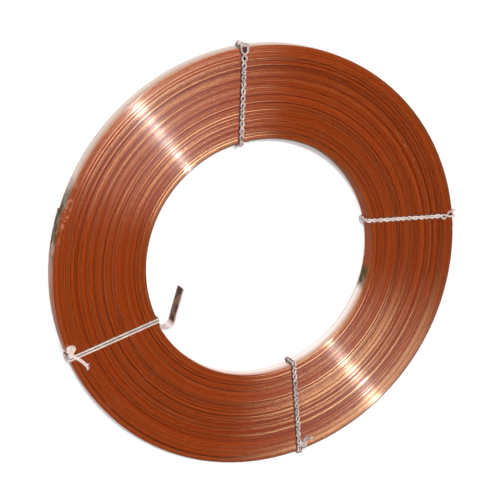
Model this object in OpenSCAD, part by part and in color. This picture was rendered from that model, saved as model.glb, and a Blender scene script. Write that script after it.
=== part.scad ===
/* [Strip] */
// Width of the copper strip, which is the height of the coil
strip_w = 20; // [12:0.5:40]
// Thickness of the copper strip
strip_t = 2; // [1.5:0.1:4]
// Rounding of the strip's drawn edges, cut here as a small chamfer
edge_chamfer = 0.35; // [0.2:0.05:0.5]

/* [Coil] */
// Diameter of the eye of the coil
bore_d = 328; // [220:1:500]
// Turns in the coil
turns = 60; // [20:1:66]
// Air left between turns that touch
wind_gap = 0.015; // [0:0.005:0.1]
// Turns, on average, from one joint that stands open to the next
open_every = 4; // [3:0.5:8]
// Width of a joint that stands open, on average
open_gap = 0.57; // [0.2:0.01:1]
// Depth that the open joints are cut to in each edge of the coil
open_depth = 3; // [1:0.5:8]
// How far a turn may stand above or below its neighbours' level
stagger = 0.3; // [0:0.05:0.6]

/* [Hooked inner end] */
// Compass direction where the strip leaves the eye's wall, seen from above
hook_at = -24.8; // [-27:0.1:-10]
// How deep the hook's bend starts in the innermost turns
hook_root = 1; // [0.6:0.1:2]
// Radius of the bend, at the middle of the strip
hook_bend_r = 11.3; // [6:0.1:20]
// Angle that the end is bent through, into the eye
hook_bend_angle = 135; // [100:1:150]
// Straight length past the bend, up to the square cut end
hook_straight = 46.8; // [20:0.2:60]

/* [Ties] */
// Thickness of one strand of the doubled twine
twine_d = 2.8; // [2:0.1:4]
// Run over which the two strands change sides
twist_run = 10; // [8:0.5:16]
// Height that the twine is squashed to where the coil stands on it
squashed_h = 1.5; // [1:0.1:2]
// Space between the twine and the copper
tie_clearance = 0.1; // [0.05:0.05:0.3]
// Compass direction where the left tie crosses the outer rim
left_tie_rim_angle = -31.2; // [-40:0.1:-30]
// How much further round the left tie crosses the eye
left_tie_slant_angle = 3.4; // [2:0.1:5]
// Compass direction where the bottom tie crosses the outer rim
bottom_tie_rim_angle = 48.8; // [40:0.1:60]
// How much further round the bottom tie crosses the eye
bottom_tie_slant_angle = 5.8; // [2:0.1:8]
// Compass direction where the right tie crosses the outer rim
right_tie_rim_angle = 133.1; // [125:0.1:145]
// How much further round the right tie crosses the eye
right_tie_slant_angle = 6.8; // [2:0.1:8]
// Compass direction where the top tie crosses the outer rim
top_tie_rim_angle = 222; // [215:0.1:235]
// How much further round the top tie crosses the eye
top_tie_slant_angle = 5.5; // [2:0.1:8]

/* [Knots] */
// Width of the knot in each tie
knot_size = 10; // [8:0.5:12]
// How far in from the rim the left knot lies
left_knot_in = 2; // [0:0.5:20]
// How far the left knot lies beside its tie
left_knot_beside = 5.6; // [0:0.2:6]
// Length of the left knot's long tails
left_tails = 35; // [15:1:40]
// How far in from the rim the bottom knot lies
bottom_knot_in = 10.6; // [0:0.2:20]
// How far the bottom knot lies beside its tie
bottom_knot_beside = 4.6; // [0:0.2:6]
// Length of the bottom knot's long tails
bottom_tails = 20; // [15:1:40]
// Length of all the other tails
short_tails = 14; // [8:1:16]

/* [Hidden] */

copper = "#a0522d";
twine_white = "#e8dcd4";
$fn = 96;

pitch = strip_t + wind_gap;
eye_r = bore_d / 2;
coil_z = squashed_h + tie_clearance + stagger;
lowest_edge = coil_z - stagger;
highest_edge = coil_z + strip_w + stagger;

function on_circle(r, a) = [r * cos(a), r * sin(a)];
function unit(v) = v / norm(v);
function total(list, from = 0) = from < len(list) ? list[from] + total(list, from + 1) : 0;

// Joints that stand open: the turn after the k-th of them, and its width. The steps
// between them and their widths are uneven, as the winding left them: by so many
// turns, and by such a share of the width.
uneven_steps = 1.2;
uneven_gaps = 0.4;
function turn_after(k) = round(open_every * k + uneven_steps * sin(100 * k));
function gap_of(k) = open_gap * (1 + uneven_gaps * sin(70 * k));
function gaps_at(i) = [for (k = [1 : open_joints]) if (turn_after(k) == i) gap_of(k)];
function gaps_up_to(i) = [for (k = [1 : open_joints]) if (turn_after(k) <= i) gap_of(k)];

// Inner radius of a turn, and the outer radius of the coil
open_joints = floor((turns - 2) / open_every);
function turn_r(i) = eye_r + i * pitch + total(gaps_up_to(i));
coil_r = turn_r(turns);

// Each turn stands a little off level, in a rhythm of a few turns; the first is level
function off_level(i) = stagger * (sin(83 * i) + 0.7 * sin(31 * i)) / 1.7;

// Outline along the edges of the turns: a groove at each joint, as deep as the
// lower turn's rounding, or a slot where the joint stands open, and a flat land on
// each edge; side is 1 above, -1 below
function edge_z(i, side) = (side > 0 ? strip_w : 0) + off_level(i);
function groove_z(i, side) = side * (min([for (k = [max(i - 1, 0) : min(i, turns - 1)])
    side * edge_z(k, side)]) - edge_chamfer);
function turn_edges(side) = [
    for (i = [0 : turns - 1])
        let (r = turn_r(i), z = groove_z(i, side))
            each concat(
                [for (gap = gaps_at(i)) each [[r - gap, z],
                                              [r - gap, z - side * open_depth],
                                              [r, z - side * open_depth]]],
                [[r, z],
                 [r + edge_chamfer, edge_z(i, side)],
                 [r + pitch - edge_chamfer, edge_z(i, side)]]),
    [coil_r, groove_z(turns, side)]];

function reversed(list) = [for (i = [len(list) - 1 : -1 : 0]) list[i]];

// The turns side by side, with the eye as their bore
module wound_turns() {
    rotate_extrude() polygon(concat(reversed(turn_edges(1)), turn_edges(-1)));
}

// The free inner end: bent back into the eye, as it came off the winding mandrel,
// and cut off square. Its root ends inside the innermost turn.
module hooked_end() {
    bend_centre = eye_r + hook_root + strip_t / 2 - hook_bend_r;
    inside = hook_bend_r - strip_t / 2;
    intersection() {
        translate(on_circle(bend_centre, hook_at))
            rotate([0, 0, hook_at + hook_bend_angle]) {
                rotate_extrude(angle = -hook_bend_angle)
                    translate([inside, 0]) square([strip_t, strip_w]);
                translate([inside, 0, 0]) cube([strip_t, hook_straight, strip_w]);
            }
        translate([0, 0, -strip_w]) cylinder(h = 3 * strip_w, r = eye_r + strip_t / 2);
    }
}

module strip_coil() {
    color(copper) translate([0, 0, coil_z]) {
        wound_turns();
        hooked_end();
    }
}

// Ties: one closed loop of doubled twine round the section of the coil
ring_sides = 8;
rings_per_run = 4;
corner_rings = 3;
// How far the strands' middles stand apart, as a share of the strand's thickness
strand_spread = 0.4;
// Height of the pair where one strand lies on the other, as a share of two strands
lay_flat = 0.75;

// Half the twine's thickness where its outward side faces psi degrees above level
function faces_down(psi) = max(0, -sin(psi));
function half_h(psi) = let (down = faces_down(psi))
    twine_d / 2 * (1 - down) + squashed_h / 2 * down;

// Height of the pair's outline in its direction phi: round above, pressed flat below
function height_at(r, phi, psi) = let (down = faces_down(psi))
    (1 - down) * max(lay_flat * r * sin(phi), -half_h(psi))
    + down * squashed_h / 2 * min(1, max(-1, 2 * sin(phi)));

// Stations of the loop: [distance along the tie's line, height, outward side]
function corner(u, z, from) = [
    for (k = [0 : corner_rings])
        let (psi = from - 90 * k / corner_rings, off = tie_clearance + half_h(psi))
            [u + off * cos(psi), z + off * sin(psi), psi]];
function straight(p, q) =
    let (n = max(1, round(norm([q[0] - p[0], q[1] - p[1]]) * rings_per_run / twist_run)))
        [for (k = [1 : 1 : n - 1]) [p[0] + (q[0] - p[0]) * k / n, p[1] + (q[1] - p[1]) * k / n, p[2]]];
function loop_of(u_in, u_out) =
    let (c1 = corner(u_in, highest_edge, 180), c2 = corner(u_out, highest_edge, 90),
         c3 = corner(u_out, lowest_edge, 0), c4 = corner(u_in, lowest_edge, -90), e = corner_rings)
        concat(c1, straight(c1[e], c2[0]), c2, straight(c2[e], c3[0]),
               c3, straight(c3[e], c4[0]), c4, straight([each [c4[e][0], c4[e][1]], 180], c1[0]));

// Twine length from the first station up to each of the others
function run_lengths(s) = [
    for (i = 0, sum = 0; i <= len(s);
         sum = sum + norm([s[(i + 1) % len(s)][0] - s[i % len(s)][0],
                           s[(i + 1) % len(s)][1] - s[i % len(s)][1]]), i = i + 1) sum];

// Radius of the twisted pair in the direction phi, with its strands side by side at twist
function pair_r(phi, twist) =
    let (e = strand_spread * twine_d, across = e * sin(phi - twist))
        e * abs(cos(phi - twist)) + sqrt(pow(twine_d / 2, 2) - across * across);

// A point of the twine, kept off the copper and above the floor
function off_walls(p, side) =
    let (r = norm([p[0], p[1]]),
         kept = side > 0 ? max(r, coil_r + tie_clearance)
              : side < 0 ? min(r, eye_r - tie_clearance) : r)
        [p[0] * kept / r, p[1] * kept / r, max(p[2], 0)];

module tie(rim, slant) {
    p_rim = on_circle(coil_r, rim);
    p_eye = on_circle(eye_r, rim + slant);
    along = unit(p_rim - p_eye);
    across = [-along[1], along[0]];
    stations = loop_of(0, norm(p_rim - p_eye));
    n = len(stations);
    runs = run_lengths(stations);
    half_twists = round(runs[n] / twist_run);
    points = [
        for (i = [0 : n - 1], k = [0 : ring_sides - 1])
            let (s = stations[i], twist = 180 * half_twists * runs[i] / runs[n],
                 phi = 360 * k / ring_sides, r = pair_r(phi, twist),
                 out = height_at(r, phi, s[2]),
                 u = s[0] + out * cos(s[2]), z = s[1] + out * sin(s[2]),
                 flat = p_eye + u * along + r * cos(phi) * across)
                off_walls([flat[0], flat[1], z], z > highest_edge || z < lowest_edge ? 0 : cos(s[2]))];
    color(twine_white) {
        polyhedron(points, tube_faces(n, ring_sides));
        children();
    }
}

// Faces of a closed tube of rings, in triangles
function tube_faces(rings, sides) = [
    for (i = [0 : rings - 1], k = [0 : sides - 1])
        let (a = i * sides + k, b = i * sides + (k + 1) % sides,
             c = ((i + 1) % rings) * sides + k, d = ((i + 1) % rings) * sides + (k + 1) % sides)
            each [[a, c, b], [b, c, d]]];

// Knots: one strand's path as it is drawn tight, with the tails of the ends. The path's
// formula gives a knot of 5.5 units across the middle of its strands.
strand_sides = 6;
tail_sides = 8;
knot_rings = 36;
tail_steps = 5;
tail_bend = 14;
tail_droop = 0.8;
knot_scale = (knot_size - twine_d) / 5.5;
knot_middle = tie_clearance + knot_scale + twine_d / 2;
function knot_path(t) = knot_scale * [sin(t) + 2 * sin(2 * t), cos(t) - 2 * cos(2 * t), -sin(3 * t)];

module knot_strand() {
    path = [for (i = [0 : knot_rings - 1]) knot_path(360 * i / knot_rings)];
    points = [
        for (i = [0 : knot_rings - 1])
            let (heading = unit(path[(i + 1) % knot_rings] - path[(i + knot_rings - 1) % knot_rings]),
                 side = unit(cross([0, 0, 1], heading)), up = cross(heading, side))
                for (k = [0 : strand_sides - 1])
                    let (phi = 360 * k / strand_sides)
                        path[i] + twine_d / 2 * (cos(phi) * side + sin(phi) * up)];
    polyhedron(points, tube_faces(knot_rings, strand_sides));
}

// A tail leaves the knot's middle, bends a little and ends clear of the copper
function tail_path(size, heading, f) = let (a = heading + tail_bend * sin(180 * f))
    [size * f * cos(a), size * f * sin(a), -tail_droop * knot_scale * sin(180 * f)];
module tail(size, heading) {
    for (i = [1 : tail_steps])
        hull()
            for (f = [(i - 1) / tail_steps, i / tail_steps])
                translate(tail_path(size, heading, f)) sphere(d = twine_d, $fn = tail_sides);
}

// The knot's middle is drawn tight, so a core fills it. Each tail has a size and a
// heading in degrees: from the tie's outward line, or from straight down on a wall.
knot_core = 0.64;
module knot(tails) {
    knot_strand();
    scale([1, 1, 0.8]) sphere(d = knot_core * knot_size, $fn = 12);
    for (t = tails) tail(t[0], t[1]);
}
wall_tails = [[short_tails, 80], [short_tails, -100]];

// A knot lies on the coil's upper edges, or against its outer wall or the wall of its
// eye, at a level that is a share of the strip's width
knot_level = 0.4;
module knot_above(rim, slant, from_rim, beside, tails) {
    outwards = unit(on_circle(coil_r, rim) - on_circle(eye_r, rim + slant));
    place = on_circle(coil_r, rim) - from_rim * outwards + beside * [-outwards[1], outwards[0]];
    translate([place[0], place[1], highest_edge + knot_middle])
        rotate([0, 0, atan2(outwards[1], outwards[0])]) knot(tails);
}
module knot_outside(rim, tails) {
    translate([each on_circle(coil_r + knot_middle, rim), coil_z + knot_level * strip_w])
        rotate([0, 90, rim]) knot(tails);
}
module knot_in_eye(angle, tails) {
    translate([each on_circle(eye_r - knot_middle, angle), coil_z + knot_level * strip_w])
        rotate([0, -90, angle]) knot(tails);
}

module tie_left() {
    tie(left_tie_rim_angle, left_tie_slant_angle)
        knot_above(left_tie_rim_angle, left_tie_slant_angle, left_knot_in, -left_knot_beside,
                   [[left_tails, 112], [0.85 * left_tails, 122], [short_tails, -66]]);
}
module tie_bottom() {
    tie(bottom_tie_rim_angle, bottom_tie_slant_angle)
        knot_above(bottom_tie_rim_angle, bottom_tie_slant_angle, bottom_knot_in, bottom_knot_beside,
                   [[bottom_tails, 110], [0.7 * bottom_tails, 140]]);
}
module tie_right() {
    tie(right_tie_rim_angle, right_tie_slant_angle)
        knot_outside(right_tie_rim_angle, wall_tails);
}
module tie_top() {
    tie(top_tie_rim_angle, top_tie_slant_angle)
        knot_in_eye(top_tie_rim_angle + top_tie_slant_angle, wall_tails);
}

strip_coil();
tie_left();
tie_bottom();
tie_right();
tie_top();
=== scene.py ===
# A flat coil of bare copper strip, bound with four ties of doubled twine.
import math

import bpy
import numpy as np
from mathutils import Matrix, Vector


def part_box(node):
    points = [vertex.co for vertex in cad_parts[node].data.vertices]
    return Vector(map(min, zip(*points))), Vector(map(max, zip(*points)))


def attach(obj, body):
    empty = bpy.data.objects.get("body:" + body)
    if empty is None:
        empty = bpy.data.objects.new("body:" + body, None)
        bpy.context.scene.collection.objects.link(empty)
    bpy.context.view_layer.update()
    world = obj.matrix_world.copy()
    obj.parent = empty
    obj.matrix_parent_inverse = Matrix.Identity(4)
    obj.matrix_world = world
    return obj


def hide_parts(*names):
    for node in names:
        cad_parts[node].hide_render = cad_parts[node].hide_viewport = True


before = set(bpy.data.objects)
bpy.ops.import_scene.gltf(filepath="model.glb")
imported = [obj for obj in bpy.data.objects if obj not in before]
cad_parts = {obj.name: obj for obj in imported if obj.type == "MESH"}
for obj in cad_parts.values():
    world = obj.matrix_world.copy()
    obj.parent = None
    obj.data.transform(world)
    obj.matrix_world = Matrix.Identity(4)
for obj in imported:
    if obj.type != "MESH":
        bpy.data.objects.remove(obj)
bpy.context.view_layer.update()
mm = 0.001


def linear(hexColour):
    # sRGB hex to the linear colour that a shader socket takes
    parts = [int(hexColour[i:i + 2], 16) / 255 for i in (1, 3, 5)]
    curve = [c / 12.92 if c <= 0.04045 else ((c + 0.055) / 1.055) ** 2.4 for c in parts]
    return (*curve, 1.0)


def addNode(tree, kind, settings=None, *inputs, **links):
    # One node with its settings. Its inputs in use are fed in their order, or by name, by a plain
    # value, a socket or a node, which gives its first output in use.
    node = tree.nodes.new(kind)
    for name, value in (settings or {}).items():
        setattr(node, name, value)
    fed = list(zip((socket for socket in node.inputs if socket.enabled), inputs))
    fed += [(node.inputs[name.replace("_", " ")], value) for name, value in links.items()]
    for socket, value in fed:
        if isinstance(value, bpy.types.Node):
            value = next(output for output in value.outputs if output.enabled)
        if isinstance(value, bpy.types.NodeSocket):
            tree.links.new(value, socket)
        else:
            socket.default_value = value
    return node


# settings that say which sum a Math node does, and what a Mix node mixes
times, over, plus, minus = ({"operation": name} for name in ("MULTIPLY", "DIVIDE", "ADD", "SUBTRACT"))
timesPlus, most, least = ({"operation": name} for name in ("MULTIPLY_ADD", "MAXIMUM", "MINIMUM"))
isAbove, isBelow = ({"operation": name} for name in ("GREATER_THAN", "LESS_THAN"))
unsigned = {"operation": "ABSOLUTE"}
colours, numbers = ({"data_type": name} for name in ("RGBA", "FLOAT"))


def onCircle(radius, degrees):
    return np.array([radius * math.cos(math.radians(degrees)), radius * math.sin(math.radians(degrees))])


# The coil: one strip, from its hooked end in the eye out to its outer end
coil = {
    "turns": 59.13,             # it ends a little short of a full turn, on the side near the camera
    "pointsPerTurn": 118,
    "thickness": 2.0 * mm,
    "width": 20.0 * mm,
    "windGap": 0.015 * mm,      # between turns that touch
    "eyeRadius": 164.0 * mm,
    "hookAt": -24.8,            # compass direction in degrees, seen from above
    "bendRadius": 11.3 * mm,
    "bendAngle": 135,
    "bendPoints": 28,
    "hookStraight": 46.8 * mm,
    "straightPoints": 10,
    "hookTurns": 0.3,           # the turn count runs from minus this to 0 along the hook
    "stagger": 0.3 * mm,        # how far a turn stands above or below its neighbours
    "staggerRates": (83, 31),   # degrees a turn, of the two waves that it is made of
    "slowStagger": 0.7,         # height of the second wave, as a share of the first
    "openEvery": 4,             # turns from one joint that stands open to the next, on average
    "openShift": 1.2,           # turns by which an open joint may lie off its even place
    "openSpread": 0.4,          # share by which an open joint may be wider or narrower
    "openRates": (100, 70),     # degrees a joint, of the waves that both of these follow
    "jogLength": 0.3,           # share of a turn over which the strip jogs out to open a joint
    # half an edge of the section: share of the half thickness from the middle, and drop there
    "crown": [(1.0, 0.45 * mm), (0.93, 0.14 * mm), (0.75, 0.025 * mm)],
}
stripLow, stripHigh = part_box("strip_coil")
coil["outerRadius"] = stripHigh.x
coil["bottom"] = stripLow.z + 0.27 * mm     # level of the lower edge of a turn that lies level


def slackUpTo(turn, total):
    # width of the open joints passed by each turn: the strip jogs outwards at uneven steps
    placeRate, sizeRate = coil["openRates"]
    built, sizes = np.zeros_like(turn), 0.0
    for k in range(1, int((coil["turns"] - 1) / coil["openEvery"]) + 1):
        place = coil["openEvery"] * k + coil["openShift"] * math.sin(math.radians(placeRate * k))
        size = 1 + coil["openSpread"] * math.sin(math.radians(sizeRate * k))
        ramp = np.clip((turn - place) / coil["jogLength"] + 0.5, 0, 1)
        built += size * ramp * ramp * (3 - 2 * ramp)
        sizes += size
    return built * total / sizes


def offLevel(turn):
    fast, slow = (np.sin(np.radians(rate * turn)) for rate in coil["staggerRates"])
    share = coil["slowStagger"]
    return coil["stagger"] * (fast + share * slow) / (1 + share)


def hookLine():
    # points from the cut end of the hook, along its straight and round its bend to the root
    bend = coil["bendRadius"]
    root = coil["eyeRadius"] + coil["thickness"] / 2
    centre = onCircle(root - bend, coil["hookAt"])
    endAt = coil["hookAt"] + coil["bendAngle"]
    along = onCircle(1.0, endAt + 90) * coil["hookStraight"]
    flat, curved = coil["straightPoints"], coil["bendPoints"]
    straight = [centre + onCircle(bend, endAt) + along * (1 - i / flat) for i in range(flat)]
    bent = [centre + onCircle(bend, endAt - coil["bendAngle"] * i / curved) for i in range(curved)]
    return straight + bent


def stripRoute():
    # points along the middle of the strip, and the number of turns from the root at each
    count = int(coil["turns"] * coil["pointsPerTurn"])
    turn = np.linspace(0, coil["turns"], count + 1)
    pitch = coil["thickness"] + coil["windGap"]
    slack = coil["outerRadius"] - coil["eyeRadius"] - coil["thickness"] - coil["turns"] * pitch
    radius = coil["eyeRadius"] + coil["thickness"] / 2 + turn * pitch + slackUpTo(turn, slack)
    angle = np.radians(coil["hookAt"] - 360 * turn)
    middle = coil["bottom"] + coil["width"] / 2
    wound = np.stack([radius * np.cos(angle), radius * np.sin(angle), middle + offLevel(turn)], 1)
    hook = np.array([[*point, middle] for point in hookLine()])
    turns = np.concatenate([np.linspace(-coil["hookTurns"], 0, len(hook), endpoint=False), turn])
    return np.concatenate([hook, wound]), turns


def linkObject(name, data):
    made = bpy.data.objects.new(name, data)
    bpy.context.scene.collection.objects.link(made)
    return made


def lineObject(name, lines):
    # rows of points joined by edges; each row may be closed, and holds named values at its points
    mesh = bpy.data.meshes.new(name)
    points, edges, values = [], [], {}
    for line in lines:
        first, count = len(points), len(line["points"])
        points += [tuple(p) for p in line["points"]]
        edges += [(first + i, first + i + 1) for i in range(count - 1)]
        if line.get("closed"):
            edges.append((first + count - 1, first))
        for key, at in line["values"].items():
            values.setdefault(key, []).extend(np.broadcast_to(at, count))
    mesh.from_pydata(points, edges, [])
    for key, row in values.items():
        mesh.attributes.new(key, "FLOAT", "POINT").data.foreach_set("value", np.asarray(row, np.float32))
    return linkObject(name, mesh)


def lengthAlong(points):
    steps = np.linalg.norm(np.diff(points, axis=0), axis=1)
    return np.concatenate([[0], np.cumsum(steps)])


def stripSection():
    # flat walls with slightly crowned, rounded edges
    half, tall = coil["thickness"] / 2, coil["width"] / 2
    edge = [(half * x, tall - drop) for x, drop in coil["crown"]]
    edge = edge + [(0, tall)] + [(-x, y) for x, y in reversed(edge)]
    points = [(x, y, 0) for x, y in edge] + [(-x, -y, 0) for x, y in edge]
    onEdge = [0.0 if abs(p[0]) > 0.99 * half else 1.0 for p in points]
    facing = [-math.copysign(1.0, p[0]) if p[0] else 0.0 for p in points]     # 1 is outwards
    return lineObject("stripSection", [{"points": points, "closed": True, "values": {
        "onEdge": onEdge, "facing": facing, "around": lengthAlong(np.array(points))}}])


def geometryTree(name, inputs):
    # an empty Geometry Nodes tree with named inputs; returns it with its input and output nodes
    tree = bpy.data.node_groups.new(name, "GeometryNodeTree")
    tree.interface.new_socket("Geometry", in_out="INPUT", socket_type="NodeSocketGeometry")
    for label, kind in inputs.items():
        tree.interface.new_socket(label, in_out="INPUT", socket_type=kind)
    tree.interface.new_socket("Geometry", in_out="OUTPUT", socket_type="NodeSocketGeometry")
    return tree, tree.nodes.new("NodeGroupInput"), tree.nodes.new("NodeGroupOutput")


def closeTree(tree, geometry, material, result):
    # smooths, realizes and paints what the tree made, and gives it out
    smooth = addNode(tree, "GeometryNodeSetShadeSmooth", Geometry=geometry)
    solid = addNode(tree, "GeometryNodeRealizeInstances", Geometry=smooth)
    painted = addNode(tree, "GeometryNodeSetMaterial", Geometry=solid, Material=material)
    tree.links.new(painted.outputs[0], result.inputs[0])


def applyTree(source, tree, values, name):
    # runs the tree on the source object and keeps the result as a plain mesh object
    modifier = source.modifiers.new(tree.name, "NODES")
    modifier.node_group = tree
    for item in tree.interface.items_tree:
        if item.in_out == "INPUT" and item.name in values:
            modifier[item.identifier] = values[item.name]
    graph = bpy.context.evaluated_depsgraph_get()
    mesh = bpy.data.meshes.new_from_object(source.evaluated_get(graph), depsgraph=graph)
    mesh.name = name
    made = linkObject(name, mesh)
    source.modifiers.remove(modifier)
    bpy.data.objects.remove(source)
    return made


def stripTree():
    # sweeps the section along the route and unrolls it into a map, with the run along the strip as U
    tree, given, result = geometryTree("windStrip", {
        "Section": "NodeSocketObject",
        "Material": "NodeSocketMaterial",
    })
    route = addNode(tree, "GeometryNodeMeshToCurve", Mesh=given.outputs["Geometry"])
    upright = addNode(tree, "GeometryNodeSetCurveNormal", {"mode": "Z_UP"}, Curve=route)
    section = addNode(tree, "GeometryNodeObjectInfo", Object=given.outputs["Section"])
    outline = addNode(tree, "GeometryNodeMeshToCurve", Mesh=section.outputs["Geometry"])
    swept = addNode(tree, "GeometryNodeCurveToMesh", Curve=upright, Profile_Curve=outline, Fill_Caps=True)
    run, around = (addNode(tree, "GeometryNodeInputNamedAttribute", numbers, Name=name)
                   for name in ("run", "around"))
    unrolled = addNode(tree, "ShaderNodeCombineXYZ", X=run, Y=around)
    mapped = addNode(tree, "GeometryNodeStoreNamedAttribute", {"data_type": "FLOAT2", "domain": "CORNER"},
                     Geometry=swept, Name="alongStrip", Value=unrolled)
    closeTree(tree, mapped, given.outputs["Material"], result)
    return tree


def spots(tree, place, pattern):
    # irregular spots: their size, detail, the noise where they begin and are full, and strength
    size, detail, begin, full, strength = pattern
    grain = addNode(tree, "ShaderNodeTexNoise", {"noise_dimensions": "3D"}, Vector=place,
                    Scale=1 / size, Detail=detail)
    return addNode(tree, "ShaderNodeMapRange", {}, grain, begin, full, 0, strength)


def emptyMaterial(name):
    material = bpy.data.materials.new(name)
    material.use_nodes = True
    material.node_tree.nodes.clear()
    return material


# The ties: doubled twine round the section of the coil
twine = {
    "strand": 2.5 * mm,
    "lay": 5.2 * mm,            # run in which a strand's three yarns go round once
    "yarnDepth": 0.2,           # relief of the yarns, as a share of the strand's radius
    "squashed": 1.5 * mm,       # height where the coil stands on it
    "pressClearance": 0.05 * mm,
    "clearance": 0.2 * mm,
    "stacked": 0.95 * mm,       # strands one above the other: distance from the middle of the pair
    "halfTwist": 8.6 * mm,
    "untwisted": 9 * mm,        # stretch at the rim where a twisted pair has no twist
    "uneven": 0.35,             # radians that the twist runs ahead or behind
    "unevenRun": 7.3 * mm,
    "unevenFrom": 20 * mm,
    "sway": 0.12,               # radians, of a pair that isn't twisted
    "swayRun": 17 * mm,
    "step": 0.8 * mm,
    "knotScale": 1.31 * mm,
    "knotMiddle": 2.81 * mm,    # height of a knot's middle above the copper
    "knotLevel": 0.4,           # height of a knot on a wall, as a share of the strip's width
    "coreScale": 0.72,          # size of a knot's inner strand, as a share of the outer one
    "coreSpin": 1.1,            # radians
    "loopWidth": 0.42,          # share of a loop's length
    "rise": 0.8,                # how far loops and tails arch, as a share of the knot's scale
    "tailBend": 5,              # degrees
    "tailTaper": 0.25,
    "frayYarns": 8,
    "frayFrom": 0.6,            # a tail thinner than this share of the strand has no loose yarns
    "frayLength": 5.5 * mm,
    "frayThickness": 0.45,      # of a loose yarn, as a share of the strand
    "seed": 5,
}
# Each tie: its direction at the rim and how much further round it meets the eye, in degrees. Apart
# is half the distance between its strands, and spread what each strand adds near the rim. A knot
# lies above the edges beside the rim, or on a wall that the photo doesn't show. Tails are length,
# heading in degrees and thickness; loops are length and heading.
ties = {
    "tie_left": {
        "rim": -31.2, "slant": 3.4, "apart": 1.95 * mm, "twisted": False, "soiled": False,
        "spread": (0.0, 0.0), "spreadRun": 10 * mm,
        "knot": "above", "fromRim": 2.0 * mm, "beside": -5.6 * mm,
        "tails": [(30 * mm, 121, 1.05), (26 * mm, 128, 1.05), (24 * mm, -66, 0.4)],
        "loops": [(12.5 * mm, -112), (9.5 * mm, -108), (6.5 * mm, -112)],
    },
    "tie_bottom": {
        "rim": 48.8, "slant": 5.8, "apart": 2.2 * mm, "twisted": True, "soiled": True,
        "spread": (0.0, 0.0), "spreadRun": 10 * mm,
        "knot": "above", "fromRim": 10.6 * mm, "beside": 4.6 * mm,
        "tails": [(14.5 * mm, 112, 1), (9 * mm, 140, 1), (6 * mm, 10, 1)],
        "loops": [(6 * mm, 70)],
    },
    "tie_right": {
        "rim": 133.1, "slant": 6.8, "apart": 1.75 * mm, "twisted": True, "soiled": False,
        "spread": (5.4 * mm, -0.9 * mm), "spreadRun": 18 * mm,
        "knot": "outside",
        "tails": [(14 * mm, 80, 1), (14 * mm, -100, 1)],
        "loops": [],
    },
    "tie_top": {
        "rim": 222.0, "slant": 5.5, "apart": 2.4 * mm, "twisted": True, "soiled": True,
        "spread": (2.9 * mm, 2.9 * mm), "spreadRun": 16 * mm,
        "knot": "inEye",
        "tails": [(14 * mm, 80, 1), (14 * mm, -100, 1)],
        "loops": [],
    },
}


def tieStations(tie):
    # the pair's middle, step by step round the section: distance along the tie, height, and the
    # direction in degrees that faces away from the copper
    rimPoint = onCircle(coil["outerRadius"], tie["rim"])
    eyePoint = onCircle(coil["eyeRadius"], tie["rim"] + tie["slant"])
    reach = np.linalg.norm(rimPoint - eyePoint)
    aside = twine["clearance"] + twine["strand"] / 2 + twine["stacked"]
    below = stripLow.z - twine["squashed"] / 2
    cornerSteps = 9
    corners = [(0, stripHigh.z, 180), (reach, stripHigh.z, 90), (reach, stripLow.z, 0), (0, stripLow.z, -90)]
    path = []
    for u, z, start in corners:
        for facing in np.linspace(start, start - 90, cornerSteps):
            down = max(0.0, -math.sin(math.radians(facing)))
            off = aside * (1 - down) + below * down
            path.append((*(np.array([u, z]) + onCircle(off, facing)), facing))
    path.append((path[0][0], path[0][1], -180))
    path = np.array(path)
    run = lengthAlong(path[:, :2])
    even = np.linspace(0, run[-1], int(run[-1] / twine["step"]), endpoint=False)
    u, z, facing = (np.interp(even, run, path[:, i]) for i in range(3))
    rimRun = run[cornerSteps + cornerSteps // 2]        # the middle of the second corner
    outwards = (rimPoint - eyePoint) / reach
    return {"u": u, "z": z, "facing": np.radians(facing), "run": even, "length": run[-1], "rimRun": rimRun,
            "from": eyePoint, "outwards": outwards, "across": np.array([-outwards[1], outwards[0]])}


def nearTurn(tree, turn, at, half):
    # 1 near one direction of the compass, given as a share of a turn from the root, and 0 elsewhere
    past = addNode(tree, "ShaderNodeMath", minus, turn, at)
    wrapped = addNode(tree, "ShaderNodeMath", {"operation": "WRAP"}, past, 0.5, -0.5)
    away = addNode(tree, "ShaderNodeMath", unsigned, wrapped)
    return addNode(tree, "ShaderNodeMapRange", {}, away, half, 0.4 * half)


def shadowUnderTies(tree, place):
    # 1 in a narrow band along each tie on top of the coil, where a shadow and a stain are painted
    apart = addNode(tree, "ShaderNodeSeparateXYZ", {}, place).outputs
    nearest = 1.0
    for tie in ties.values():
        at = tieStations(tie)
        start = -np.dot(at["from"], at["across"])
        aside = addNode(tree, "ShaderNodeMath", timesPlus, apart["X"], at["across"][0], start)
        aside = addNode(tree, "ShaderNodeMath", timesPlus, apart["Y"], at["across"][1], aside)
        along = addNode(tree, "ShaderNodeMath", times, apart["X"], at["outwards"][0])
        along = addNode(tree, "ShaderNodeMath", timesPlus, apart["Y"], at["outwards"][1], along)
        behind = addNode(tree, "ShaderNodeMath", isBelow, along, 0.0)
        away = addNode(tree, "ShaderNodeMath", unsigned, aside)
        away = addNode(tree, "ShaderNodeMath", plus, away, behind)
        nearest = addNode(tree, "ShaderNodeMath", least, nearest, away)
    return addNode(tree, "ShaderNodeMapRange", {}, nearest, *copper["tieShadowEdge"])


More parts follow.
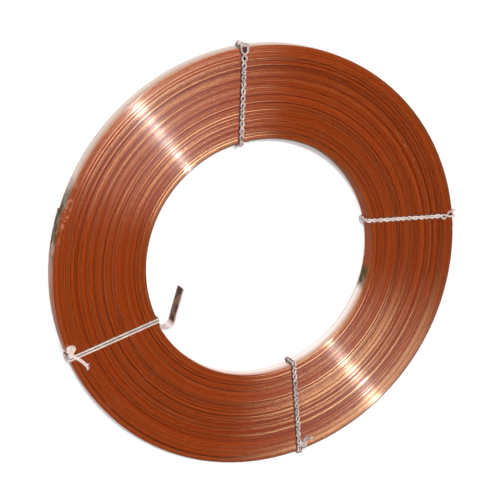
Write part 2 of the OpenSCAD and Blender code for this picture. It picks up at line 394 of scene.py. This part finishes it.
# The strip's finish. Turns are counted along the strip from the root of the hook, and are below 0
# on the hook. A pair of them is where a mark starts and where it is full. A compass pair is a
# direction, as a share of a turn past the root, and the half width of the mark there.
copper = {
    "bareMetal": "#ecc092",
    "redOxide": "#a04111",
    "darkOxide": "#852f09",
    "innerFace": "#86290a",             # between the turns
    "openFaces": ("#d2bcb0", "#ecdfd9"),            # of the outer wall and of the eye, low down
    "openFacesTop": ("#a67a62", "#b06a48"),
    "towardsTop": 0.85,                 # how far a face has changed at its top edge
    "brownedFace": "#b04a16",
    "brownedTurns": (0.64, 0.61),       # the wall of the eye is browned along the first turn
    "brownedCompass": (0.02, 0.11),
    "bend": "#dfd0ca",                  # of the hook
    "tarnish": "#8f6955",               # on the hook's straight
    "tarnishTurns": (-0.21, -0.225),
    # dark brown of the hook's tarnish, also used for the painted shadow under the ties and the darker first
    # and last turn
    "deepTarnishAndShade": "#2a1b14",
    "cutEndTurns": (-0.282, -0.288),
    # olive-black patches on the outer wall and on the eye's wall: a painted reflection of something dark, at
    # two directions
    "darkReflection": "#5a430c",
    "darkReflectionCompass": [(0.118, 0.038), (0.622, 0.02)],
    "bareShare": 0.23,                  # of the edges' surface
    "sideLightGradient": 0.12,                 # how much more one side of the coil is burnished, per metre: a painted gradient of light across the coil
    "toneRate": 0.37,                   # changes of tone a turn
    "toneShift": 0.075,                 # how far the tone moves what counts as burnished
    "streakWidth": 0.3 * mm,            # coarser than real drawing lines, so that they show
    "streakLength": 1400 * mm,
    "bareRoughness": 0.14,
    "oxideRoughness": 0.23,
    "faceRoughness": 0.2,
    "dullRoughness": 0.6,
    "tieShadowAndStain": 0.95,                      # strength of the painted shadow and stain under the ties
    "tieShadowEdge": (4.4 * mm, 2.8 * mm),  # from a tie's middle: where a mark ends, and is full
    "darkFirstTurn": (0.64, 0.58),
    "darkLastTurn": (0.74, 0.68, 0.26, 0.2),        # before the outer end: rise and fall
    "scuff": "#dc9f7c",
    "scuffHalf": 0.03,                  # share of a turn
    "speckRowTurn": 41.49,                # a short row of small bright specks lies here
    "speckRowSide": (0.034, 0.03),          # turns to each side of its line
    # spots: size, detail, the noise where they begin and are full, and strength
    "scuffs": (5 * mm, 3.0, 0.5, 0.62, 1.0),
    "speckRow": (3 * mm, 1.0, 0.52, 0.6, 1.0),
    "brightSpecks": (2.2 * mm, 0.0, 0.8, 0.83, 0.7),
    "hookSpots": (13 * mm, 2.0, 0.52, 0.6, 0.8),
    "darkReflectionPatches": (13 * mm, 2.0, 0.34, 0.56, 1.0),
}


def bareStreaks(tree, turn, place, dark):
    # where the oxide is burnished off, along the strip; also gives the noise and the turns' tone
    unrolled = addNode(tree, "ShaderNodeUVMap", {"uv_map": "alongStrip"})
    unrolled = addNode(tree, "ShaderNodeSeparateXYZ", {}, unrolled).outputs
    aside = addNode(tree, "ShaderNodeMath", over, unrolled["Y"], copper["streakWidth"])
    along = addNode(tree, "ShaderNodeMath", over, unrolled["X"], copper["streakLength"])
    stretched = addNode(tree, "ShaderNodeCombineXYZ", X=aside, Y=along)
    streaks = addNode(tree, "ShaderNodeTexNoise", {"noise_dimensions": "2D"}, Vector=stretched,
                      Scale=1.0, Detail=2.0)
    # neighbouring turns share a tone, which drifts slowly along the strip
    drift = addNode(tree, "ShaderNodeMath", times, turn, copper["toneRate"])
    tone = addNode(tree, "ShaderNodeTexNoise", {"noise_dimensions": "1D"}, W=drift,
                   Scale=1.0, Detail=2.0, Roughness=0.55)
    shift = addNode(tree, "ShaderNodeMapRange", {}, tone, 0.3, 0.7, -copper["toneShift"], copper["toneShift"])
    # painted light: more streaks are burnished towards one side, so that side of the coil shows brighter
    towardsSide = addNode(tree, "ShaderNodeSeparateXYZ", {}, place).outputs["Y"]
    sideLight = addNode(tree, "ShaderNodeMath", times, towardsSide, copper["sideLightGradient"])
    shift = addNode(tree, "ShaderNodeMath", plus, shift, sideLight)
    shifted = addNode(tree, "ShaderNodeMath", plus, streaks, shift)
    threshold = 0.5 + 0.32 * (0.5 - copper["bareShare"])        # the noise's spread is about 0.32
    bare = addNode(tree, "ShaderNodeMapRange", {}, shifted, threshold - 0.005, threshold + 0.015)
    clean = addNode(tree, "ShaderNodeMath", minus, 1.0, dark)
    onTurns = addNode(tree, "ShaderNodeMath", isAbove, turn, 0.0)
    for share in (clean, onTurns):
        bare = addNode(tree, "ShaderNodeMath", times, bare, share)
    return bare, streaks, tone


def darkParts(tree, turn, place):
    # painted shadow and stain under the ties, and darker stretches of the first and of the last turn
    # painted shadow of the ties on the copper, with a stain under them
    shadowedUnderTies = addNode(tree, "ShaderNodeMath", times, shadowUnderTies(tree, place), copper["tieShadowAndStain"])
    start, full, fallFrom, end = (coil["turns"] - back for back in copper["darkLastTurn"])
    grown = addNode(tree, "ShaderNodeMapRange", {}, turn, start, full, 0, 0.6)
    left = addNode(tree, "ShaderNodeMapRange", {}, turn, end, fallFrom)
    last = addNode(tree, "ShaderNodeMath", times, grown, left)
    first = addNode(tree, "ShaderNodeMapRange", {}, turn, *copper["darkFirstTurn"], 0, 0.8)
    ends = addNode(tree, "ShaderNodeMath", most, last, first)
    return addNode(tree, "ShaderNodeMath", most, shadowedUnderTies, ends)


def scuffMarks(tree, turn, place):
    # scuffs beside the strip's outer end, a short row of bright specks, and a few bright specks elsewhere
    end = coil["turns"]
    onLast = addNode(tree, "ShaderNodeMapRange", {}, turn, end - 5, end - 4)
    atEnd = addNode(tree, "ShaderNodeMath", times, nearTurn(tree, turn, end, copper["scuffHalf"]), onLast)
    scuffs = addNode(tree, "ShaderNodeMath", times, spots(tree, place, copper["scuffs"]), atEnd)
    offLine = addNode(tree, "ShaderNodeMath", minus, turn, copper["speckRowTurn"])
    offLine = addNode(tree, "ShaderNodeMath", unsigned, offLine)
    onLine = addNode(tree, "ShaderNodeMapRange", {}, offLine, *copper["speckRowSide"])
    speckRow = addNode(tree, "ShaderNodeMath", times, onLine, spots(tree, place, copper["speckRow"]))
    marks = addNode(tree, "ShaderNodeMath", most, scuffs, speckRow)
    return addNode(tree, "ShaderNodeMath", most, marks, spots(tree, place, copper["brightSpecks"]))


def broadFaces(tree, turn, facing, place, onHook):
    # bright where they lie open, dark between the turns, tarnished on the hook
    outwards = addNode(tree, "ShaderNodeMath", times, turn, facing)
    outerOpen = addNode(tree, "ShaderNodeMath", isAbove, outwards, coil["turns"] - 1.02)
    onFirst = addNode(tree, "ShaderNodeMath", isBelow, turn, 1.0)
    inwards = addNode(tree, "ShaderNodeMath", isBelow, facing, 0.0)
    innerOpen = addNode(tree, "ShaderNodeMath", times, onFirst, inwards)
    shown = onHook
    for part in (outerOpen, innerOpen):
        shown = addNode(tree, "ShaderNodeMath", most, shown, part)
    height = addNode(tree, "ShaderNodeSeparateXYZ", {}, place).outputs["Z"]
    low = stripLow.z + 0.35 * coil["width"]
    towardsTop = addNode(tree, "ShaderNodeMapRange", {}, height, low, stripHigh.z, 0, copper["towardsTop"])
    lower, upper = (addNode(tree, "ShaderNodeMix", colours, innerOpen, linear(outer), linear(inner))
                    for outer, inner in (copper["openFaces"], copper["openFacesTop"]))
    browned = addNode(tree, "ShaderNodeMapRange", {}, turn, *copper["brownedTurns"])
    browned = addNode(tree, "ShaderNodeMath", times, innerOpen, browned)
    besideHook = nearTurn(tree, turn, *copper["brownedCompass"])
    besideHook = addNode(tree, "ShaderNodeMath", times, besideHook, 0.7)
    browned = addNode(tree, "ShaderNodeMath", most, browned, besideHook)
    onBend = addNode(tree, "ShaderNodeMapRange", {}, turn, 0.01, -0.02)
    straight = addNode(tree, "ShaderNodeMapRange", {}, turn, *copper["tarnishTurns"])
    spotted = addNode(tree, "ShaderNodeMath", times, spots(tree, place, copper["hookSpots"]), straight)
    cutEnd = addNode(tree, "ShaderNodeMapRange", {}, turn, *copper["cutEndTurns"], 0, 0.6)
    spotted = addNode(tree, "ShaderNodeMath", most, spotted, cutEnd)
    # painted reflection: dark olive patches on the walls at two directions, with the metal turned off there
    onOuter, onInner = (nearTurn(tree, turn, *mark) for mark in copper["darkReflectionCompass"])
    paintedReflection = addNode(tree, "ShaderNodeMath", most, onOuter, onInner)
    paintedReflection = addNode(tree, "ShaderNodeMath", times, paintedReflection, spots(tree, place, copper["darkReflectionPatches"]))
    layers = (
        (towardsTop, upper),
        (browned, linear(copper["brownedFace"])),
        (onBend, linear(copper["bend"])),
        (straight, linear(copper["tarnish"])),
        (spotted, linear(copper["deepTarnishAndShade"])),
        (paintedReflection, linear(copper["darkReflection"])),
    )
    colour = lower
    for share, layer in layers:
        colour = addNode(tree, "ShaderNodeMix", colours, share, colour, layer)
    colour = addNode(tree, "ShaderNodeMix", colours, shown, linear(copper["innerFace"]), colour)
    dull = addNode(tree, "ShaderNodeMath", times, browned, 0.8)
    for part in (spotted, straight, paintedReflection):
        dull = addNode(tree, "ShaderNodeMath", most, dull, part)
    metal = addNode(tree, "ShaderNodeMath", minus, 1.0, dull)
    return colour, addNode(tree, "ShaderNodeMath", times, shown, metal)


def drawnCopper():
    # Bare copper strip, drawn and then left in the air. Its narrow edges are red-brown oxide with
    # fine burnished streaks along the strip, which throw a fan of light across the coil. Its broad
    # faces were rolled bright and tarnish less where they lie open.
    material = emptyMaterial("drawnCopperStrip")
    tree = material.node_tree
    turn, onEdge, facing = (addNode(tree, "ShaderNodeAttribute", {"attribute_name": name}).outputs["Fac"]
                            for name in ("turn", "onEdge", "facing"))
    place = addNode(tree, "ShaderNodeTexCoord").outputs["Object"]
    onHook = addNode(tree, "ShaderNodeMath", isBelow, turn, 0.0)
    dark = darkParts(tree, turn, place)
    bare, streaks, tone = bareStreaks(tree, turn, place, dark)
    redder = addNode(tree, "ShaderNodeMapRange", {}, tone, 0.35, 0.65)
    edgeColour = addNode(tree, "ShaderNodeMix", colours, redder, linear(copper["darkOxide"]),
                         linear(copper["redOxide"]))
    scuffed = addNode(tree, "ShaderNodeMath", times, scuffMarks(tree, turn, place), 0.5)
    hooked = addNode(tree, "ShaderNodeMath", times, onHook, 0.8)
    layers = ((dark, "deepTarnishAndShade"), (bare, "bareMetal"), (scuffed, "scuff"), (hooked, "bend"))
    for share, layer in layers:
        edgeColour = addNode(tree, "ShaderNodeMix", colours, share, edgeColour, linear(copper[layer]))
    faceColour, faceMetal = broadFaces(tree, turn, facing, place, onHook)
    faceRoughness = addNode(tree, "ShaderNodeMix", numbers, faceMetal, copper["dullRoughness"],
                            copper["faceRoughness"])
    edgeRoughness = addNode(tree, "ShaderNodeMapRange", {}, bare, 0, 1, copper["oxideRoughness"],
                            copper["bareRoughness"])
    bump = addNode(tree, "ShaderNodeBump", Strength=0.15, Distance=0.03 * mm, Height=streaks)
    tangent = addNode(tree, "ShaderNodeTangent", {"direction_type": "UV_MAP", "uv_map": "alongStrip"})
    shader = addNode(tree, "ShaderNodeBsdfPrincipled",
                     Base_Color=addNode(tree, "ShaderNodeMix", colours, onEdge, faceColour, edgeColour),
                     Metallic=addNode(tree, "ShaderNodeMix", numbers, onEdge, faceMetal, bare),
                     Roughness=addNode(tree, "ShaderNodeMix", numbers, onEdge, faceRoughness, edgeRoughness),
                     Normal=bump, Tangent=tangent, Anisotropic=1.0, Anisotropic_Rotation=0.25,
                     Specular_IOR_Level=0.68)
    addNode(tree, "ShaderNodeOutputMaterial", Surface=shader)
    return material


def makeCoil():
    points, turns = stripRoute()
    route = lineObject("stripRoute", [{"points": points, "values": {
        "turn": turns, "run": lengthAlong(points)}}])
    section = stripSection()
    made = applyTree(route, stripTree(), {"Section": section, "Material": drawnCopper()}, "wound_strip")
    bpy.data.objects.remove(section)
    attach(made, "root")
    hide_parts("strip_coil")
    print("coil:", len(made.data.polygons), "faces")
    return made


def twineLine(points, closed=False, under=0.0, thick=1.0):
    points = np.array(points)
    return {"points": points, "closed": closed,
            "values": {"run": lengthAlong(points), "under": under, "thick": thick}}


def strandLine(tie, at, strand):
    # one strand of the pair, as a closed line that starts under the coil
    past = (at["run"] - at["rimRun"]) % at["length"]        # distance past the rim's upper edge
    nearRim = np.exp(-(np.minimum(past, at["length"] - past) / tie["spreadRun"]) ** 2)
    if tie["twisted"]:
        flat = twine["untwisted"]
        halfTwists = 2 * round((at["length"] - 2 * flat) / twine["halfTwist"] / 2)
        turned = math.pi * halfTwists * np.clip((past - flat) / (at["length"] - 2 * flat), 0, 1)
        grown = np.clip(past / twine["unevenFrom"], 0, 1)
        turned = turned + twine["uneven"] * np.sin(past / twine["unevenRun"]) * grown
    else:
        turned = twine["sway"] * np.sin(past / twine["swayRun"])
    side = turned + math.pi * strand
    across = (tie["apart"] + tie["spread"][strand] * nearRim) * np.cos(side)
    away = twine["stacked"] * (np.sin(side) - (0 if tie["twisted"] else 1))
    away = away * (0.3 + 0.7 * np.clip(1 + np.sin(at["facing"]), 0, 1))      # flatter under the coil
    flatPlace = (at["from"] + np.outer(at["u"] + away * np.cos(at["facing"]), at["outwards"])
                 + np.outer(across, at["across"]))
    points = np.column_stack([flatPlace, at["z"] + away * np.sin(at["facing"])])
    fromDown = np.abs(np.degrees(at["facing"]) + 90)
    under = (fromDown < 30).astype(float)
    start = int(np.argmin(fromDown + 0.001 * np.arange(len(points))))
    points, under = np.roll(points, -start, 0), np.roll(under, -start)
    return twineLine(points, closed=True, under=under)


def knotStrand(scale, spin):
    # a closed strand, drawn tight in three lobes
    turn = np.linspace(0, 2 * math.pi, 64, endpoint=False)
    x = np.sin(turn + spin) + 2 * np.sin(2 * turn + spin)
    y = np.cos(turn + spin) - 2 * np.cos(2 * turn + spin)
    return twineLine(scale * twine["knotScale"] * np.column_stack([x, y, -np.sin(3 * turn)]), closed=True)


def loopLine(size, heading):
    share = np.linspace(0, 1, 26)
    out = size * np.sin(math.pi * share)
    sway = twine["loopWidth"] * size * np.sin(2 * math.pi * share)
    rise = twine["rise"] * twine["knotScale"] * np.sin(math.pi * share) * (share - 0.2)
    a = math.radians(heading)
    return twineLine(np.column_stack([
        out * math.cos(a) - sway * math.sin(a), out * math.sin(a) + sway * math.cos(a), rise]))


def tailLines(rng, size, heading, thick):
    # a tail that bends a little, and the loose yarns at its end
    share = np.linspace(0, 1, 26)
    a = np.radians(heading + twine["tailBend"] * np.sin(math.pi * share))
    tail = np.column_stack([size * share * np.cos(a), size * share * np.sin(a),
                            -twine["rise"] * twine["knotScale"] * np.sin(math.pi * share)])
    lines = [twineLine(tail, thick=thick * (1 - twine["tailTaper"] * share ** 4))]
    ends = (tail[-1] - tail[-3]) / np.linalg.norm(tail[-1] - tail[-3])
    steps = np.linspace(-0.25, 1, 8)
    thinning = 1.15 - 0.6 * np.clip(steps, 0, 1)
    for _ in range(twine["frayYarns"] if thick > twine["frayFrom"] else 0):
        loose = ends + rng.normal(0, 0.5, 3) * (1, 1, 0.5)
        length = twine["frayLength"] * rng.uniform(0.55, 1.1)
        yarn = tail[-1] + np.outer(steps * length, loose / np.linalg.norm(loose))
        yarn[:, 2] -= 0.2 * length * steps ** 2
        lines.append(twineLine(yarn, thick=twine["frayThickness"] * thinning))
    return lines


def knotLines(tie):
    # the knot, its loops and its tails in the knot's own frame: X outwards or down, Z off the copper
    rng = np.random.default_rng(twine["seed"])
    lines = [knotStrand(1.0, 0.0), knotStrand(twine["coreScale"], twine["coreSpin"])]
    lines += [loopLine(*loop) for loop in tie["loops"]]
    for tail in tie["tails"]:
        lines += tailLines(rng, *tail)
    return lines


def knotFrame(tie, at):
    # origin and axes of the knot's own frame
    rim = tie["rim"]
    wallZ = coil["bottom"] + twine["knotLevel"] * coil["width"]
    if tie["knot"] == "above":
        place = onCircle(coil["outerRadius"], rim)
        place = place - tie["fromRim"] * at["outwards"] + tie["beside"] * at["across"]
        axes = (*at["outwards"], 0), (*at["across"], 0), (0, 0, 1)
        return (*place, stripHigh.z + twine["knotMiddle"]), axes
    if tie["knot"] == "outside":
        out, tangent = onCircle(1.0, rim), onCircle(1.0, rim + 90)
        place = out * (coil["outerRadius"] + twine["knotMiddle"])
        return (*place, wallZ), ((0, 0, -1), (*tangent, 0), (*out, 0))
    out, tangent = onCircle(1.0, rim + tie["slant"]), onCircle(1.0, rim + tie["slant"] + 90)
    place = out * (coil["eyeRadius"] - twine["knotMiddle"])
    return (*place, wallZ), ((0, 0, 1), (*tangent, 0), (*-out, 0))


def twineTree():
    # sweeps a strand of three yarns along each line, then presses flat what lies under the coil
    tree, given, result = geometryTree("layTwine", {
        "Strand": "NodeSocketFloat",
        "Lay": "NodeSocketFloat",
        "Yarn Depth": "NodeSocketFloat",
        "Coil Underside": "NodeSocketFloat",
        "Copper": "NodeSocketObject",
        "Material": "NodeSocketMaterial",
    })
    run, thick, around, under = (addNode(tree, "GeometryNodeInputNamedAttribute", numbers, Name=name)
                                 for name in ("run", "thick", "around", "under"))
    lines = addNode(tree, "GeometryNodeMeshToCurve", Mesh=given.outputs["Geometry"])
    lays = addNode(tree, "ShaderNodeMath", over, run, given.outputs["Lay"])
    turned = addNode(tree, "ShaderNodeMath", times, lays, 2 * math.pi)
    tilted = addNode(tree, "GeometryNodeSetCurveTilt", Curve=lines, Tilt=turned)
    radius = addNode(tree, "ShaderNodeMath", times, given.outputs["Strand"], 0.5)
    ring = addNode(tree, "GeometryNodeCurvePrimitiveCircle", Resolution=12, Radius=radius)
    # three yarns stand out of the round
    factor = addNode(tree, "GeometryNodeSplineParameter").outputs["Factor"]
    angle = addNode(tree, "ShaderNodeMath", times, factor, 6 * math.pi)
    lobes = addNode(tree, "ShaderNodeMath", {"operation": "COSINE"}, angle)
    swell = addNode(tree, "ShaderNodeMath", timesPlus, lobes, given.outputs["Yarn Depth"], 1.0)
    where = addNode(tree, "GeometryNodeInputPosition")
    swollen = addNode(tree, "ShaderNodeVectorMath", {"operation": "SCALE"}, Vector=where, Scale=swell)
    lobed = addNode(tree, "GeometryNodeSetPosition", Geometry=ring, Position=swollen)
    profile = addNode(tree, "GeometryNodeStoreNamedAttribute", {"data_type": "FLOAT", "domain": "POINT"},
                      Geometry=lobed, Name="around", Value=factor)
    swept = addNode(tree, "GeometryNodeCurveToMesh", Curve=tilted, Profile_Curve=profile, Scale=thick,
                    Fill_Caps=True)
    unrolled = addNode(tree, "ShaderNodeCombineXYZ", X=run, Y=around)
    mapped = addNode(tree, "GeometryNodeStoreNamedAttribute", {"data_type": "FLOAT2", "domain": "CORNER"},
                     Geometry=swept, Name="alongStrand", Value=unrolled)
    # nothing reaches below the floor, and what is under the coil stays under it
    apart = addNode(tree, "ShaderNodeSeparateXYZ", {}, where).outputs
    onFloor = addNode(tree, "ShaderNodeMath", most, apart["Z"], 0.0)
    pressed = addNode(tree, "ShaderNodeMath", least, onFloor, given.outputs["Coil Underside"])
    level = addNode(tree, "ShaderNodeMix", numbers, under, onFloor, pressed)
    back = addNode(tree, "ShaderNodeCombineXYZ", X=apart["X"], Y=apart["Y"], Z=level)
    laid = addNode(tree, "GeometryNodeSetPosition", Geometry=mapped, Position=back)
    # how far each spot is from the copper, for the painted shade and the dirt there
    metal = addNode(tree, "GeometryNodeObjectInfo", Object=given.outputs["Copper"])
    nearest = addNode(tree, "GeometryNodeProximity", {"target_element": "FACES"},
                      Geometry=metal.outputs["Geometry"])
    marked = addNode(tree, "GeometryNodeStoreNamedAttribute", {"data_type": "FLOAT", "domain": "POINT"},
                     Geometry=laid, Name="offCopper", Value=nearest.outputs["Distance"])
    closeTree(tree, marked, given.outputs["Material"], result)
    return tree


# The twine's finish
cotton = {
    "clean": "#ffece5",
    "handled": "#caa59c",
    "specked": "#4c2c30",               # of a soiled tie
    "shadeAndDirt": "#2e1a1e",
    "shadeAndDirtNear": (2.3 * mm, 0.8 * mm),   # distance from the copper where the painted shade and dirt start, and are full
    "fibreWidth": 0.06,                 # share of the way round
    "fibreLength": 2.5 * mm,
    # spots, given as the copper's are
    "handledPatches": (14 * mm, 1.0, 0.45, 0.7, 0.5),
    "darkSpecks": (1.7 * mm, 1.0, 0.52, 0.58, 1.0),
}


def cottonTwine(soiled):
    # White spun cotton, dull and a little hairy, with painted shade in its grooves and painted shade and dirt
    # beside the copper;
    # a soiled tie has dark specks all over
    material = emptyMaterial("soiledCottonTwine" if soiled else "cottonTwine")
    tree = material.node_tree
    unrolled = addNode(tree, "ShaderNodeUVMap", {"uv_map": "alongStrand"})
    unrolled = addNode(tree, "ShaderNodeSeparateXYZ", {}, unrolled).outputs
    place = addNode(tree, "ShaderNodeTexCoord").outputs["Object"]
    along = addNode(tree, "ShaderNodeMath", over, unrolled["X"], cotton["fibreLength"])
    aside = addNode(tree, "ShaderNodeMath", over, unrolled["Y"], cotton["fibreWidth"])
    stretched = addNode(tree, "ShaderNodeCombineXYZ", X=along, Y=aside)
    fibres = addNode(tree, "ShaderNodeTexNoise", {"noise_dimensions": "2D"}, Vector=stretched,
                     Scale=1.0, Detail=3.0)
    betweenFibres = addNode(tree, "ShaderNodeMapRange", {}, fibres, 0.3, 0.7, 0.2, 0)
    handled = spots(tree, place, cotton["handledPatches"])
    handled = addNode(tree, "ShaderNodeMath", plus, handled, betweenFibres)
    # painted shade in the grooves between the three yarns
    angle = addNode(tree, "ShaderNodeMath", times, unrolled["Y"], 6 * math.pi)
    lobes = addNode(tree, "ShaderNodeMath", {"operation": "COSINE"}, angle)
    shadedGrooves = addNode(tree, "ShaderNodeMapRange", {}, lobes, -0.4, -0.9, 0, 0.85)
    # painted shade and dirt where the twine lies near the copper
    offCopper = addNode(tree, "ShaderNodeAttribute", {"attribute_name": "offCopper"}).outputs["Fac"]
    nearCopper = addNode(tree, "ShaderNodeMapRange", {}, offCopper, *cotton["shadeAndDirtNear"], 0, 0.92)
    shadeAndDirtShare = addNode(tree, "ShaderNodeMath", most, shadedGrooves, nearCopper)
    layers = [(handled, "handled"), (shadeAndDirtShare, "shadeAndDirt")]
    if soiled:
        layers.insert(1, (spots(tree, place, cotton["darkSpecks"]), "specked"))
    colour = linear(cotton["clean"])
    for share, layer in layers:
        colour = addNode(tree, "ShaderNodeMix", colours, share, colour, linear(cotton[layer]))
    bump = addNode(tree, "ShaderNodeBump", Strength=0.6, Distance=0.12 * mm, Height=fibres)
    shader = addNode(tree, "ShaderNodeBsdfPrincipled", Base_Color=colour, Roughness=0.85,
                     Normal=bump, Sheen_Weight=0.5, Sheen_Roughness=0.4)
    addNode(tree, "ShaderNodeOutputMaterial", Surface=shader)
    return material


def makeTies(coilPiece):
    tree = twineTree()
    materials = {soiled: cottonTwine(soiled) for soiled in (False, True)}
    for node, tie in ties.items():
        at = tieStations(tie)
        lines = [strandLine(tie, at, k) for k in (0, 1)]
        origin, axes = knotFrame(tie, at)
        for line in knotLines(tie):
            line["points"] = np.array(origin) + line["points"] @ np.array(axes)
            lines.append(line)
        made = applyTree(lineObject("twineLines", lines), tree, {
            "Strand": twine["strand"],
            "Lay": twine["lay"],
            "Yarn Depth": twine["yarnDepth"],
            "Coil Underside": stripLow.z - twine["pressClearance"],
            "Copper": coilPiece,
            "Material": materials[tie["soiled"]],
        }, "twine_" + node)
        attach(made, "root")
        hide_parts(node)
        print(node + ":", len(made.data.polygons), "faces")


# Camera: the photo looks down on the coil from its near side, turned about its line of sight
photo = {
    "size": 500,                # pixels, both ways
    "distance": 2.93,           # metres from the coil's middle, ten times its outer radius
    "fromAxis": 27.88,          # degrees between the line of sight and the winding axis
    "nearSideAt": 214.0,        # direction of the near side in the photo, clockwise from the right
    "focalPixels": 2159.0,
    "middle": (254.86, 254.4),  # where the middle of the coil's underside falls
}


def makeCamera():
    tilt, turned = math.radians(photo["fromAxis"]), math.radians(photo["nearSideAt"])
    back = Vector((0, -math.sin(tilt), math.cos(tilt)))
    near = Vector((0, -math.cos(tilt), -math.sin(tilt)))
    side = Vector((-1, 0, 0))
    right = near * math.cos(turned) - side * math.sin(turned)
    down = near * math.sin(turned) + side * math.cos(turned)
    data = bpy.data.cameras.new("photoCamera")
    data.sensor_width = 36.0
    data.lens = photo["focalPixels"] * data.sensor_width / photo["size"]
    half = photo["size"] / 2
    data.shift_x = (half - photo["middle"][0]) / photo["size"]
    data.shift_y = (photo["middle"][1] - half) / photo["size"]
    camera = linkObject("photoCamera", data)
    turn = Matrix((right, -down, back)).transposed().to_4x4()
    camera.matrix_world = Matrix.Translation(Vector((0, 0, coil["bottom"])) + back * photo["distance"]) @ turn
    bpy.context.scene.camera = camera
    print("camera:", photo["distance"], "m away")


# Studio: a pale floor in a room with pale walls and a dim ceiling, which holds one long soft
# panel of light, and a small lamp beside it. Directions are X and Y per unit of height.
studio = {
    "floorSize": 14.0,
    "floorColour": "#c8c8c6",
    "floorGlow": 0.36,          # a light table, which keeps shadows faint; dark under the coil
    "glowEdge": (12 * mm, 2 * mm),      # in from the ring's edges: where the glow starts, and is full
    "wallLight": 0.9,
    "ceilingLight": 0.02,
    "wallTop": (0.05, 0.3),     # sine of the height above the horizon where walls turn to ceiling
    "panelLight": 7.3,
    "panelMiddle": (-0.35, -0.2),
    "panelHalf": (0.48, 0.48),
    "panelSharpEdge": 0.02,
    "panelSoftEnd": 0.64,
    "panelEnds": 0.1,
    "panelFallFrom": 0.05,      # from here to the sharp edge its light falls
    "panelFarShare": 0.35,      # of its light at the sharp edge
    "lampPower": 2.3,
    "lampAt": (-0.2215, -0.3226),
    "lampAngle": 0.8,           # degrees across
}


def paleFloor():
    # matt paper on a light table
    material = bpy.data.materials.new("paleFloor")
    material.use_nodes = True
    tree = material.node_tree
    shader = tree.nodes["Principled BSDF"]
    shader.inputs["Base Color"].default_value = linear(studio["floorColour"])
    shader.inputs["Roughness"].default_value = 0.9
    shader.inputs["Emission Color"].default_value = (1, 1, 1, 1)
    where = addNode(tree, "ShaderNodeTexCoord").outputs["Object"]
    reach = addNode(tree, "ShaderNodeVectorMath", {"operation": "LENGTH"}, Vector=where)
    middle = (coil["eyeRadius"] + coil["outerRadius"]) / 2
    half = (coil["outerRadius"] - coil["eyeRadius"]) / 2
    offMiddle = addNode(tree, "ShaderNodeMath", minus, reach, middle)
    offMiddle = addNode(tree, "ShaderNodeMath", unsigned, offMiddle)
    start, full = (half - inset for inset in studio["glowEdge"])
    glow = addNode(tree, "ShaderNodeMapRange", {}, offMiddle, start, full, 0, studio["floorGlow"])
    tree.links.new(glow.outputs[0], shader.inputs["Emission Strength"])
    return material


def makeStudio():
    side = studio["floorSize"] / 2
    corners = [(-side, -side, 0), (side, -side, 0), (side, side, 0), (-side, side, 0)]
    mesh = bpy.data.meshes.new("floor")
    mesh.from_pydata(corners, [], [(0, 1, 2, 3)])
    mesh.materials.append(paleFloor())
    floor = linkObject("floor", mesh)
    data = bpy.data.lights.new("lamp", "SUN")
    data.energy, data.angle = studio["lampPower"], math.radians(studio["lampAngle"])
    lamp = linkObject("lamp", data)
    lamp.matrix_world = Vector((*studio["lampAt"], 1.0)).to_track_quat("Z", "Y").to_matrix().to_4x4()
    print("studio: floor and lamp")


def makeRoom():
    world = bpy.data.worlds.new("studioRoom")
    world.use_nodes = True
    tree = world.node_tree
    tree.nodes.clear()
    ray = addNode(tree, "ShaderNodeTexCoord").outputs["Generated"]
    ray = addNode(tree, "ShaderNodeSeparateXYZ", {}, ray).outputs
    room = addNode(tree, "ShaderNodeMapRange", {}, ray["Z"], *studio["wallTop"], studio["wallLight"],
                   studio["ceilingLight"])
    height = addNode(tree, "ShaderNodeMath", most, ray["Z"], 0.02)
    offMiddle = []
    for axis, middle in zip("XY", studio["panelMiddle"]):
        slope = addNode(tree, "ShaderNodeMath", over, ray[axis], height)
        offMiddle.append(addNode(tree, "ShaderNodeMath", minus, slope, middle))
    across, along = offMiddle
    along = addNode(tree, "ShaderNodeMath", unsigned, along)
    halfX, halfY = studio["panelHalf"]
    edges = (
        (across, halfX, halfX - studio["panelSharpEdge"]),
        (across, -halfX, studio["panelSoftEnd"] - halfX),
        (across, studio["panelFallFrom"], halfX, 1.0, studio["panelFarShare"]),
        (along, halfY, halfY - studio["panelEnds"]),
    )
    panel = addNode(tree, "ShaderNodeMath", isAbove, ray["Z"], studio["wallTop"][1])
    for edge in edges:
        inside = addNode(tree, "ShaderNodeMapRange", {}, *edge)
        panel = addNode(tree, "ShaderNodeMath", times, panel, inside)
    light = addNode(tree, "ShaderNodeMath", timesPlus, panel, studio["panelLight"], room)
    sky = addNode(tree, "ShaderNodeBackground", Strength=light)
    addNode(tree, "ShaderNodeOutputWorld", Surface=sky)
    bpy.context.scene.world = world
    bpy.context.scene.view_settings.view_transform = "Standard"
    print("room: walls, ceiling and panel of light")


makeCamera()
makeStudio()
makeRoom()
makeTies(makeCoil())
